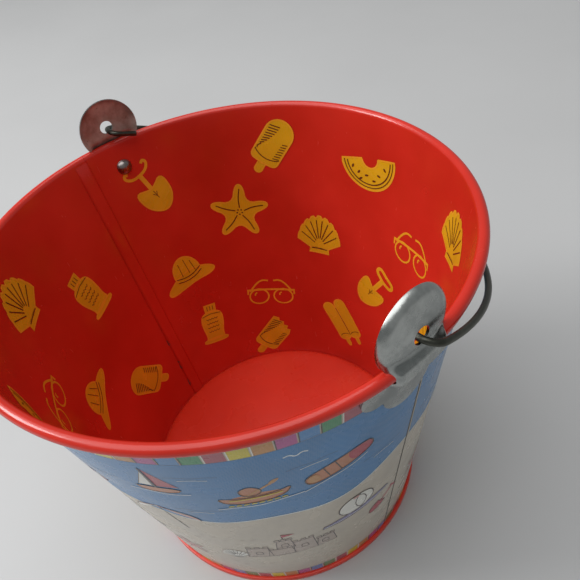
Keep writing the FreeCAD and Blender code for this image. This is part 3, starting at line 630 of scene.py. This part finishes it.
# ---- The printed picture outside -------------------------------------------------------------
# The outside shows a seaside picture under varnish: a border of small coloured blocks below the
# rim and above the foot, blue sea, and cream sand with things to play with.
BLOCK_WIDTH = 6.7
FOLD_ROOM = 1.0
BORDER_INKS = ("block_blue", "block_green", "block_mauve", "block_yellow", "block_tan",
               "block_magenta")
picture_inks = {
    "sea": litho_ink("sea_blue_litho_ink", "#2f78b0"),
    "deep_sea": litho_ink("deep_sea_litho_ink", "#265a88"),
    "foam": litho_ink("foam_white_litho_ink", "#dfe6e4"),
    "block_blue": litho_ink("block_blue_litho_ink", "#4a86bd"),
    "block_green": litho_ink("block_green_litho_ink", "#3f8f5e"),
    "block_mauve": litho_ink("block_mauve_litho_ink", "#a94f5e"),
    "block_yellow": litho_ink("block_yellow_litho_ink", "#d2c233"),
    "block_tan": litho_ink("block_tan_litho_ink", "#c08a4c"),
    "block_magenta": litho_ink("block_magenta_litho_ink", "#b2508e"),
    "ink_line": litho_ink("dark_line_litho_ink", "#4b3f3c", tooth=0.02),
    "hull": litho_ink("brown_orange_litho_ink", "#bd774d"),
    "crimson": litho_ink("crimson_litho_ink", "#b23045"),
    "lilac": litho_ink("lilac_litho_ink", "#9a92bd"),
    "shade_sand": litho_ink("shaded_sand_litho_ink", "#b3a498"),
    "white": litho_ink("white_litho_ink", "#e6e5dc"),
    "pink": litho_ink("pink_litho_ink", "#d39a92"),
}


def border_blocks(sheet, start, low, high):
    """A row of coloured blocks round one panel, with pale gaps and a dark line at each side."""
    radius = outside_radius((low + high) / 2)
    around = pi * radius
    count = round(around / BLOCK_WIDTH / 6) * 6
    step = HALF_TURN / count
    tall = (high - low) / cos(LEAN)
    half = around / count / 2
    for i in range(count):
        left = FOLD_ROOM - half if i == 0 else 0.2 - half
        right = half - FOLD_ROOM if i == count - 1 else half - 0.25
        block = [(left + 0.35, -tall / 2), (right, -tall / 2), (right, tall / 2),
                 (left + 0.35, tall / 2)]
        edge = [(left, -tall / 2), (left + 0.4, -tall / 2), (left + 0.4, tall / 2), (left, tall / 2)]
        layers = [(BORDER_INKS[(i + 1) % 6], [block])]
        layers.append(("ink_line" if i % 6 in (0, 4, 5) else "white", [edge]))
        sheet.draw(layers, start + (i + 0.5) * step, (low + high) / 2)


def sea_band(sheet, start):
    """The sea: one band with a gently curving shore and a thin line of foam."""
    columns = 120
    top = 147.4

    def shore(i):
        a = radians(i / columns * 360)
        return 93 + 3.6 * sin(a * 2 + 0.6) + 2.2 * sin(a * 5 + 2)

    ends = [(start + degrees((0.95 - GROOVE_OFFSET) / outside_radius(120)), 0),
            (start + HALF_TURN + degrees((-0.95 - GROOVE_OFFSET) / outside_radius(120)), columns)]
    turns = [ends[0][0] + (ends[1][0] - ends[0][0]) * i / columns for i in range(columns + 1)]
    for ink, lift, rows in (("sea", 0.04, (shore, lambda i: top)),
                            ("foam", 0.1, (lambda i: shore(i) - 0.5, lambda i: shore(i) + 0.35))):
        edges = []
        for row in rows:
            edges.append([sheet.shape.verts.new(wrap(0, 0, turns[i], row(i), True, lift))
                          for i in range(columns + 1)])
        for i in range(columns):
            face = sheet.shape.faces.new([edges[0][i], edges[0][i + 1], edges[1][i + 1], edges[1][i]])
            face.material_index = list(sheet.inks).index(ink)


def ripples(width=9):
    """Two short strokes of a lighter and a darker blue on the water."""
    dark = line(soften([(-width, 0), (-width / 2, 0.9), (0, 0), (width / 2, 0.9), (width, 0)],
                       2, False), 0.5)
    pale = line(soften([(-width * 0.5, -2), (0, -1.2), (width * 0.6, -2)], 2, False), 0.4)
    return [("deep_sea", dark), ("foam", pale)]


def rowing_boat():
    """A small rowing boat with a banded gunwale, an oar and its ripples."""
    hull = soften([(-13.5, 3.6), (-10, -3.4), (9, -4), (14, 3.8), (8, 1.9), (-7, 1.9)], 2)
    inner = soften([(-9, 2.6), (0, 5.2), (10.5, 2.8), (6, 1.7), (-6, 1.7)], 2)
    oar = line([(-3, 2.6), (6.5, 9.6)], 1.1)
    blade = soften([(5.6, 8.2), (9.8, 10.6), (11, 13), (7.6, 12.2)], 1)
    bow = soften([(-3.4, 3), (-4.6, 8.6), (0, 11.4), (3.6, 7.4), (2.6, 3)], 2)
    fringe = []
    for i in range(8):
        fringe += [arc(-9.6 + 2.7 * i, -4.9, 1.15, 0, 180, 6)]
    return [("hull", [hull, bow, inner]), ("block_tan", oar + [blade]),
            ("ink_line", line(hull, 0.45, True) + line(bow, 0.45, True)),
            ("block_yellow", fringe + line([(-9, 0.6), (9.6, 0.6)], 0.8)),
            ("foam", line(soften([(-15, -6.6), (-8, -5.7), (0, -6.9), (8, -5.8), (16, -6.4)], 2,
                                 False), 0.55))]


def air_bed():
    """An air bed seen from above, with a crimson end and a pillow."""
    bed = soften([(-14, -4.4), (-14, 4), (-4, 5.2), (12.5, 4.4), (15, 0), (12.5, -4.4), (-4, -5.4)])
    end = soften([(4, -5), (4, 5), (12.5, 4.2), (14.6, 0), (12.5, -4.2)])
    pillow = soften([(-13, -3), (-13, 3), (-8.6, 3.6), (-8.6, -3.6)])
    ribs = line([(-5.6, -4.6), (-5.6, 4.6)], 0.4) + line([(-0.8, -4.8), (-0.8, 4.8)], 0.4)
    return [("hull", [bed]), ("crimson", [end]), ("block_tan", [pillow]),
            ("ink_line", line(bed, 0.5, True) + ribs),
            ("foam", line(soften([(-17, -7), (-8, -6.2), (2, -7.4), (10, -6.4)], 2, False), 0.5))]


def sailing_boat():
    """A toy yacht with a crimson sail."""
    sail = [(0.6, -3), (9.5, -3), (0.6, 13.5)]
    jib = [(-0.6, -3), (-6.6, -3), (-0.6, 11)]
    hull = soften([(-9.5, -4.2), (-7, -9), (7, -9), (10.5, -4.2)], 1)
    return [("crimson", [sail]), ("white", [jib]), ("hull", [hull]),
            ("ink_line", line([(0, -4.2), (0, 14.5)], 0.7) + line(hull, 0.45, True)
             + line(sail, 0.35, True) + line(jib, 0.35, True)),
            ("foam", line(soften([(-13, -10.2), (-5, -9.4), (3, -10.6), (12, -9.6)], 2, False), 0.5))]


def sunshade():
    """A beach umbrella in pink and cream, stuck in the sand."""
    layers = [("ink_line", line([(0, 9), (2.6, -15)], 0.8))]
    for i in range(6):
        wedge = [(0, 10)] + arc(0, -1.5, 14, 180 - 30 * i, 150 - 30 * i, 4, flat=0.72)
        layers.append(("pink" if i % 2 else "white", [wedge]))
    rim = arc(0, -1.5, 14, 180, 0, 20, flat=0.72)
    return merge_layers(layers) + [("ink_line", line(rim, 0.4))]


def sand_castle():
    """A castle turned out of buckets, shaded, with thin brown drawing lines and one flag."""
    blocks, lines = [], []
    for x, y, wide, tall in ((-15, -9, 11, 13), (-5.5, -9, 12, 9), (5, -9, 10.5, 15),
                             (14.5, -9, 9, 10), (-3, 0, 8, 11)):
        block = [(x - wide / 2, y), (x + wide / 2, y), (x + wide / 2 - 1, y + tall),
                 (x - wide / 2 + 1, y + tall)]
        blocks.append(block)
        lines += line(block, 0.42, closed=True)
        for i in range(3):
            cx = x - wide / 3 + wide / 3 * i
            tooth = [(cx - 1.1, y + tall), (cx + 1.1, y + tall), (cx + 1, y + tall + 1.9),
                     (cx - 1, y + tall + 1.9)]
            blocks.append(tooth)
            lines += line(tooth, 0.36, closed=True)
    for x, y in ((-15, -3), (5, -1), (-3, 5), (14, -4)):
        lines += line(arc(x, y, 1.5, 0, 180, 8) + [(x - 1.5, y - 2.4), (x + 1.5, y - 2.4)], 0.36, True)
    lines += line([(-3, 13), (-3, 19)], 0.5)
    return [("shade_sand", blocks), ("ink_line", lines), ("crimson", [[(-3, 19), (2.6, 17.4), (-3, 15.8)]])]


def beach_ball():
    """A white beach ball with drawn seams on a lilac towel."""
    ball = arc(0, 2, 8.4, 0, 345, 23)
    towel = soften([(-17, -9.6), (-15.4, -5.6), (16, -5.2), (17.6, -9)], 1)
    seams = line(arc(-5, 2, 9.6, -52, 52, 12), 0.45) + line(arc(12, 2, 12.6, 140, 220, 12), 0.45)
    stripes = line([(-15.8, -7.9), (16.6, -7.4)], 0.5)
    return [("lilac", [towel]), ("white", [ball]),
            ("ink_line", seams + line(ball, 0.5, True) + line(towel, 0.4, True)),
            ("foam", stripes), ("pink", [arc(0, 9, 1.7, 0, 315, 7, flat=0.6)])]


def swim_ring():
    """A swimming ring in crimson and white quarters."""
    layers = []
    for i in range(8):
        piece = line(arc(0, 0, 6.6, 45 * i, 45 * i + 45, 5, flat=0.62), 3.4)
        layers.append(("crimson" if i % 2 else "white", piece))
    rims = line(arc(0, 0, 8.4, 0, 350, 24, flat=0.64), 0.4, True)
    rims += line(arc(0, 0, 4.8, 0, 345, 20, flat=0.58), 0.4, True)
    return merge_layers(layers) + [("ink_line", rims)]


def gull():
    """A gull far away, two strokes."""
    return [("foam", line(soften([(-5, 1.6), (-2.6, 2.8), (0, 0), (2.6, 2.8), (5, 1.6)], 2, False),
                          0.8))]


def crimson_spade():
    """A crimson spade lying in the sand."""
    blade = soften([(-1.2, -1), (-4.4, 0.6), (-4.2, -7), (0, -10.5), (4.2, -7), (4.4, 0.6),
                    (1.2, -1)])
    return [("crimson", [blade] + line([(0, -1), (0, 9)], 1.5) + line([(-3, 9.4), (3, 9.4)], 1.5)),
            ("ink_line", line(blade, 0.4, True))]


def grains():
    """A few short strokes that shade the sand."""
    marks = []
    for i in range(9):
        x, y = -16 + 4 * i, 3.2 * sin(i * 2.3)
        marks += line([(x, y), (x + 1.2 + 0.6 * (i % 3), y + 0.25)], 0.36)
    return [("shade_sand", marks)]


picture = [
    (rowing_boat, 136.6, 114, 4, 1.0), (air_bed, 156, 119, 16, 0.95),
    (sailing_boat, 117, 130, 0, 0.9), (sunshade, 111, 92, 4, 1.0), (sand_castle, 140, 50, 0, 1.0),
    (beach_ball, 161, 69, 4, 1.0), (crimson_spade, 171.5, 50, -50, 0.9), (swim_ring, 93, 112, -8, 1.1),
    (sailing_boat, 66, 124, 0, 1.15), (rowing_boat, 36, 116, -4, 1.0), (gull, 84, 136, 0, 1.0),
    (gull, 52, 138, 8, 0.8), (gull, 147, 139, -6, 0.8), (gull, 14, 134, 4, 0.9),
    (sand_castle, 58, 46, 0, 1.15), (sunshade, 26, 84, -5, 1.15), (beach_ball, 88, 66, -3, 1.0),
    (crimson_spade, 36.5, 46, 40, 0.9), (grains, 118, 30, 0, 1.0), (grains, 78, 30, 0, 1.0),
    (grains, 38, 26, 0, 1.0), (grains, 160, 34, 0, 1.0), (grains, 118, 68, 0, 1.0),
    (grains, 48, 78, 0, 1.0), (ripples, 126, 136, 0, 1.0), (ripples, 150, 130, 0, 1.0),
    (ripples, 102, 126, 0, 1.0), (ripples, 82, 118, 0, 1.0), (ripples, 50, 124, 0, 1.0),
    (ripples, 22, 124, 0, 1.0), (ripples, 168, 108, 0, 1.0), (ripples, 122, 104, 0, 1.0),
    (ripples, 60, 103, 0, 1.0), (ripples, 8, 108, 0, 1.0),
]
outdoor_starfish = starfish("pink", "white", "ink_line")
outdoor_shell = shell("white", "shade_sand", "ink_line")
for name, start in (("seaside_print_back", SEAM_TURN),
                    ("seaside_print_front", SEAM_TURN + HALF_TURN)):
    sheet = Sheet(True, picture_inks)
    sea_band(sheet, start)
    border_blocks(sheet, start - 1.9, 147.6, 158.4)
    border_blocks(sheet, start - 2.4, 3.6, 10.4)
    for drawing, turn, height, tilt, scale in picture:
        sheet.draw(drawing(), start + turn, height, tilt, scale)
    sheet.draw(outdoor_starfish, start + 104, 40, 12, 0.55)
    sheet.draw(outdoor_starfish, start + 12, 44, -20, 0.6)
    sheet.draw(outdoor_shell, start + 121, 46, 10, 0.5)
    sheet.draw(outdoor_shell, start + 76, 84, -14, 0.42)
    sheet.finish(name)

# ---- The rim wire ----------------------------------------------------------------------------
# A plain steel wire ring lies inside the curl and keeps the rim round. Only its edge can be
# seen, through the open side of the curl.


def worn_steel(name, colour, tarnish, spots, rough=0.3, streak=3.0, spot_share=0.66, bare=1.0,
               drag=0.03):
    """Zinc-plated or bare steel that has been handled outdoors: a grey metal with cloudy white
    and dark tarnish, fine drag lines from the press, and brown rust where the plating broke.
    bare is the share of clean metal left, and drag the height of the drag lines in mm."""
    material, tree, shader, place = new_finish(name)
    clouds = node(tree, "TexNoise", {"Scale": per_mm(9), "Detail": 6, "Roughness": 0.62},
                  {"Vector": place})
    tone = node(tree, "MapRange", {"From Min": 0.36, "From Max": 0.66},
                {"Value": clouds.outputs[0]})
    metal = node(tree, "Mix", {"data_type": "RGBA", 6: linear(tarnish), 7: linear(colour)},
                 {0: tone.outputs[0]})
    rust_noise = node(tree, "TexNoise", {"Scale": per_mm(2.6), "Detail": 5, "Roughness": 0.7},
                      {"Vector": place})
    rust = node(tree, "MapRange", {"From Min": spot_share, "From Max": spot_share + 0.07},
                {"Value": rust_noise.outputs[0]})
    coloured = node(tree, "Mix", {"data_type": "RGBA", 7: linear(spots)},
                    {0: rust.outputs[0], 6: metal.outputs[2]})
    drawn = node(tree, "Mapping", {"Scale": (1, 0.08, 1)}, {"Vector": place})
    lines = node(tree, "TexNoise", {"Scale": per_mm(streak / 6), "Detail": 2},
                 {"Vector": drawn.outputs[0]})
    level = node(tree, "MapRange", {"From Min": 0.3, "From Max": 0.7, "To Min": rough - 0.08,
                                    "To Max": rough + 0.14}, {"Value": clouds.outputs[0]})
    dull = node(tree, "Math", {"operation": "MULTIPLY_ADD", 1: 0.4},
                {0: rust.outputs[0], 2: level.outputs[0]})
    shine = node(tree, "MapRange", {"From Min": 0, "From Max": 1, "To Min": bare, "To Max": 0.12},
                 {"Value": rust.outputs[0]})
    relief = node(tree, "Bump", {"Strength": 0.35, "Distance": drag * MM},
                  {"Height": lines.outputs[0]})
    tree.links.new(coloured.outputs[2], shader.inputs["Base Color"])
    tree.links.new(dull.outputs[0], shader.inputs["Roughness"])
    tree.links.new(shine.outputs[0], shader.inputs["Metallic"])
    tree.links.new(relief.outputs[0], shader.inputs["Normal"])
    return material


def give_finish(node_name, material):
    """Puts a material on a CAD piece that is shown as it is."""
    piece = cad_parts[node_name]
    piece.data.materials.clear()
    piece.data.materials.append(material)


rim_steel = worn_steel("plain_steel_wire", "#8d8c88", "#6d6a66", "#6b3f26")
give_finish("rim_wire", rim_steel)

# ---- The ears --------------------------------------------------------------------------------
# Each ear is one stamping of 0.9 mm zinc-plated steel: a plate with three lobes riveted to the
# body, a neck that steps out past the rim, and a dished round head with the hole for the bail.
# The outer face keeps its plating; the hollow side has gone dull.
EAR_TURN = 1.9
GAUGE = 0.9
EAR_GRID = 0.5
HOLE_HEIGHT = 172.2
HOLE_RADIUS = 3.2
DISH_RADIUS = 14.4
LIP_RADIUS = 3.0
NECK_FACE = 102.7
NECK_HALF = 8.5
NECK_ROOT = 150
MIDDLE_LOBE_HEIGHT, MIDDLE_LOBE_RADIUS = 147.5, 11
SIDE_LOBE_REACH, SIDE_LOBE_HEIGHT, SIDE_LOBE_RADIUS = 13.2, 152.8, 6.5
WEB_LOW, WEB_HIGH = 149, 160
SLOT_HEIGHT, SLOT_HALF_WIDTH, SLOT_HALF_HEIGHT = 157.5, 3, 0.9
DOME_FACE, DOME_DEPTH, DOME_RADIUS = 101.0, 1.5, 12
PLATE_STAND_OFF = 1.1
BLANK_LOW, BLANK_ROWS, BLANK_COLUMNS = 135.5, 104, 44
OUTLINE_STEP, FACE_STEP = 0.01, 0.05


def smooth_step(value, low, high):
    """Rises evenly from 0 at low to 1 at high."""
    t = min(max((value - low) / (high - low), 0), 1)
    return t * t * (3 - 2 * t)


def blend(a, b, round_off):
    """The nearer of two outlines, with the corner between them filled to a smooth sweep."""
    share = max(round_off - abs(a - b), 0) / round_off
    return min(a, b) - share * share * round_off / 4


def beside_ear(y, z):
    """How far a point of the ear's blank lies outside its outline, in mm; inside is negative."""
    dish = hypot(y, z - HOLE_HEIGHT) - DISH_RADIUS
    neck = max(abs(y) - NECK_HALF, NECK_ROOT - z, z - 170)
    middle_lobe = hypot(y, z - MIDDLE_LOBE_HEIGHT) - MIDDLE_LOBE_RADIUS
    side_lobes = hypot(abs(y) - SIDE_LOBE_REACH, z - SIDE_LOBE_HEIGHT) - SIDE_LOBE_RADIUS
    web = max(abs(y) - SIDE_LOBE_REACH, WEB_LOW - z, z - WEB_HIGH)
    plate = blend(blend(middle_lobe, side_lobes, 1.5), web, 1.0)
    whole = blend(blend(dish, neck, 5), plate, 3)
    slot = max(abs(y) - SLOT_HALF_WIDTH, abs(z - SLOT_HEIGHT) - SLOT_HALF_HEIGHT)
    return max(whole, HOLE_RADIUS - hypot(y, z - HOLE_HEIGHT), -slot)


def ear_face(y, z):
    """How far the ear's outer face stands from the pail's axis, in mm."""
    radius = hypot(y, z - HOLE_HEIGHT)
    dome = DOME_FACE - DOME_DEPTH * (min(radius, DOME_RADIUS) / DOME_RADIUS) ** 2
    over = min(max(radius - (DISH_RADIUS - LIP_RADIUS), 0), LIP_RADIUS - 0.12)
    dome -= LIP_RADIUS - sqrt(LIP_RADIUS ** 2 - over ** 2)
    plate = sqrt((outside_radius(z) + PLATE_STAND_OFF) ** 2 - y * y)
    neck = sqrt(NECK_FACE ** 2 - y * y)
    risen = smooth_step(z, 155.4, 160.2) * (1 - smooth_step(abs(y), 9.5, 13.5))
    low = plate + (neck - plate) * risen
    up = smooth_step(z, 163.6, 168)
    return low + (dome - low) * up


def stamped_ear(name, node_name, turn):
    """The blank as a fine grid fitted to its outline, pressed to shape and given its thickness."""
    places, cells = {}, []
    for i in range(-BLANK_COLUMNS, BLANK_COLUMNS):
        for j in range(BLANK_ROWS):
            y, z = (i + 0.5) * EAR_GRID, BLANK_LOW + (j + 0.5) * EAR_GRID
            if beside_ear(y, z) < 0:
                cells.append([(i, j), (i + 1, j), (i + 1, j + 1), (i, j + 1)])
    uses = {}
    for cell in cells:
        for corner in cell:
            uses[corner] = uses.get(corner, 0) + 1
    for corner, count in uses.items():
        y, z = corner[0] * EAR_GRID, BLANK_LOW + corner[1] * EAR_GRID
        if count < 4:
            for _ in range(4):
                away = beside_ear(y, z)
                dy = (beside_ear(y + OUTLINE_STEP, z) - away) / OUTLINE_STEP
                dz = (beside_ear(y, z + OUTLINE_STEP) - away) / OUTLINE_STEP
                steep = max(dy * dy + dz * dz, 0.2)
                y, z = y - away * dy / steep, z - away * dz / steep
        places[corner] = (y, z)
    shape = bmesh.new()
    sheets = []
    for depth in (0, GAUGE):
        sheet = {}
        for corner, (y, z) in places.items():
            x = ear_face(y, z)
            slope_y = (ear_face(y + FACE_STEP, z) - ear_face(y - FACE_STEP, z)) / (2 * FACE_STEP)
            slope_z = (ear_face(y, z + FACE_STEP) - ear_face(y, z - FACE_STEP)) / (2 * FACE_STEP)
            normal = Vector((1, -slope_y, -slope_z)).normalized()
            point = (Vector((x, y, z)) - normal * depth) * MM
            sheet[corner] = shape.verts.new(point)
        sheets.append(sheet)
    for cell in cells:
        shape.faces.new([sheets[0][corner] for corner in cell])
        back = shape.faces.new([sheets[1][corner] for corner in cell[::-1]])
        back.material_index = 1
    sides = [pair for cell in cells for pair in zip(cell, cell[1:] + cell[:1])]
    inner_sides = set(sides)
    for a, b in sides:
        if (b, a) not in inner_sides:
            shape.faces.new([sheets[0][b], sheets[0][a], sheets[1][a], sheets[1][b]])
    bmesh.ops.rotate(shape, verts=shape.verts[:], matrix=Matrix.Rotation(radians(turn), 3, "Z"))
    mesh = bpy.data.meshes.new(name)
    shape.to_mesh(mesh)
    shape.free()
    piece = link_piece(name, mesh, zinc, dull_zinc, crease=50)
    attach(piece, "pail")
    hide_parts(node_name)


zinc = worn_steel("zinc_plated_steel", "#b9bcb9", "#8d918f", "#6e4a35", rough=0.24,
                  spot_share=0.73, drag=0.01)
dull_zinc = worn_steel("weathered_zinc_plate", "#c4bab0", "#94857b", "#6a3f30", rough=0.5,
                       spot_share=0.63, bare=0.3, drag=0.01)
stamped_ear("stamped_ear_right", "bail_ear_right", EAR_TURN)
stamped_ear("stamped_ear_left", "bail_ear_left", HALF_TURN - EAR_TURN)

# ---- The ear rivets --------------------------------------------------------------------------
# One solid steel rivet holds each ear: a domed head inside the pail and a flat upset tail
# outside.
rivet_steel = worn_steel("rivet_steel", "#a79f9c", "#7a706c", "#5b3a2c", rough=0.24)
for side in ("right", "left"):
    give_finish("ear_rivet_" + side, rivet_steel)

# ---- The bail --------------------------------------------------------------------------------
# The bail is 2.4 mm spring steel wire, bent to an arch, its two ends hooked through the ears
# and left free to swing. The bright wire has oxidised to a dark olive grey.
dark_steel = worn_steel("oxidised_bail_steel", "#5f6059", "#43443d", "#4d3a2c", rough=0.36)
give_finish("bail_wire", dark_steel)

# ---- The floor, the light and the camera -----------------------------------------------------
# A plain pale table in a soft room, lit by one large soft light overhead and a smaller one high
# on the left.
bpy.ops.mesh.primitive_plane_add(size=8)
table = bpy.context.object
table.name = "pale_table"
table_finish, table_tree, table_shader, table_place = new_finish("matt_pale_table")
grain = node(table_tree, "TexNoise", {"Scale": per_mm(180), "Detail": 3}, {"Vector": table_place})
shade = node(table_tree, "MapRange", {"To Min": 0.46, "To Max": 0.51}, {"Value": grain.outputs[0]})
grey = node(table_tree, "CombineColor", {}, {0: shade.outputs[0], 1: shade.outputs[0],
                                             2: shade.outputs[0]})
table_tree.links.new(grey.outputs[0], table_shader.inputs["Base Color"])
table_shader.inputs["Roughness"].default_value = 0.55
table.data.materials.append(table_finish)

world = bpy.data.worlds.new("soft_room")
scene.world = world
world.use_nodes = True
world.node_tree.nodes["Background"].inputs["Color"].default_value = linear("#e4e7e8")
world.node_tree.nodes["Background"].inputs["Strength"].default_value = 0.34


def soft_light(name, place, target, size, watts):
    """A square studio light of that size in metres, aimed at a point."""
    lamp = bpy.data.lights.new(name, "AREA")
    lamp.shape, lamp.size, lamp.energy = "SQUARE", size, watts
    light = bpy.data.objects.new(name, lamp)
    scene.collection.objects.link(light)
    light.location = place
    light.rotation_mode = "QUATERNION"
    light.rotation_quaternion = (Vector(target) - Vector(place)).to_track_quat("-Z", "Y")


soft_light("window_light", (-0.85, -1.0, 1.1), (0, 0, 0.08), 0.6, 13)
soft_light("ceiling_light", (-0.3, -0.4, 1.9), (0, 0, 0.1), 2.4, 36)

# The camera stands over the right ear and looks down into the pail, turned a little on its axis.
CAMERA_PLACE = Vector((173.4, -80.5, 296.4)) * MM
CAMERA_TARGET = Vector((-24.3, 41.6, 82.2)) * MM
CAMERA_ROLL = radians(-11.55)
camera_data = bpy.data.cameras.new("camera")
camera_data.lens = 36.4
camera = bpy.data.objects.new("camera", camera_data)
scene.collection.objects.link(camera)
aim = (CAMERA_TARGET - CAMERA_PLACE).to_track_quat("-Z", "Y").to_matrix().to_4x4()
camera.matrix_world = Matrix.Translation(CAMERA_PLACE) @ aim @ Matrix.Rotation(CAMERA_ROLL, 4, "Z")
scene.camera = camera
scene.view_settings.view_transform = "Standard"
